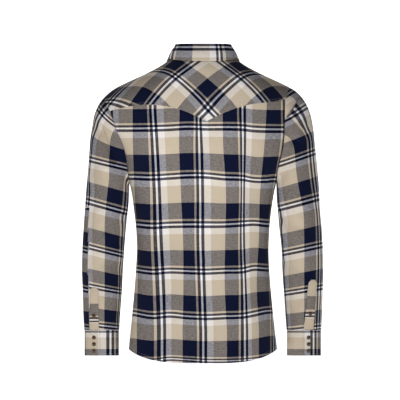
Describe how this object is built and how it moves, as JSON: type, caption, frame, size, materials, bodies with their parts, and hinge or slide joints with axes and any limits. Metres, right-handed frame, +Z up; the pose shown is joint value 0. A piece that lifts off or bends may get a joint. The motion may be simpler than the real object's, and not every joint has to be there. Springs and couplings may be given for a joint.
{
  "type": "western snap shirt",
  "caption": "Slim long-sleeved western shirt in plaid cotton, hollow and filled out as if worn, with a pointed yoke, fold-over collar, snap front and snap cuffs",
  "frame": {"origin": "midway between the two neck points of the shoulder line, where the shirt hangs from the shoulders", "axes": "+Z is up the body, -Y is the wearer's front, +Y the wearer's back, +X the wearer's left"},
  "size_m": [0.6013, 0.2433, 0.7943],
  "materials": {
    "plaid_cloth": "brushed cotton twill, yarn-dyed in navy, tan and white plaid, cut on the straight grain",
    "yoke_cloth": "the same plaid twill, cut on the bias",
    "snap_cap": "dark polished cap in a brass rim"
  },
  "bodies": {
    "root": {"back": "plaid_cloth", "front_left": "plaid_cloth", "front_right": "plaid_cloth", "front_placket": "plaid_cloth", "sleeve_left": "plaid_cloth", "sleeve_right": "plaid_cloth", "cuff_left": "plaid_cloth", "cuff_right": "plaid_cloth", "sleeve_placket_left": "plaid_cloth", "sleeve_placket_right": "plaid_cloth", "collar_stand": "plaid_cloth", "collar_fall": "plaid_cloth", "yoke": "yoke_cloth", "front_snap_1": "snap_cap", "front_snap_2": "snap_cap", "front_snap_3": "snap_cap", "front_snap_4": "snap_cap", "front_snap_5": "snap_cap", "front_snap_6": "snap_cap", "front_snap_7": "snap_cap", "cuff_snap_left_1": "snap_cap", "cuff_snap_left_2": "snap_cap", "cuff_snap_left_3": "snap_cap", "sleeve_snap_left": "snap_cap", "cuff_snap_right_1": "snap_cap", "cuff_snap_right_2": "snap_cap", "cuff_snap_right_3": "snap_cap", "sleeve_snap_right": "snap_cap", "collar_snap": "snap_cap"}
  },
  "joints": []
}
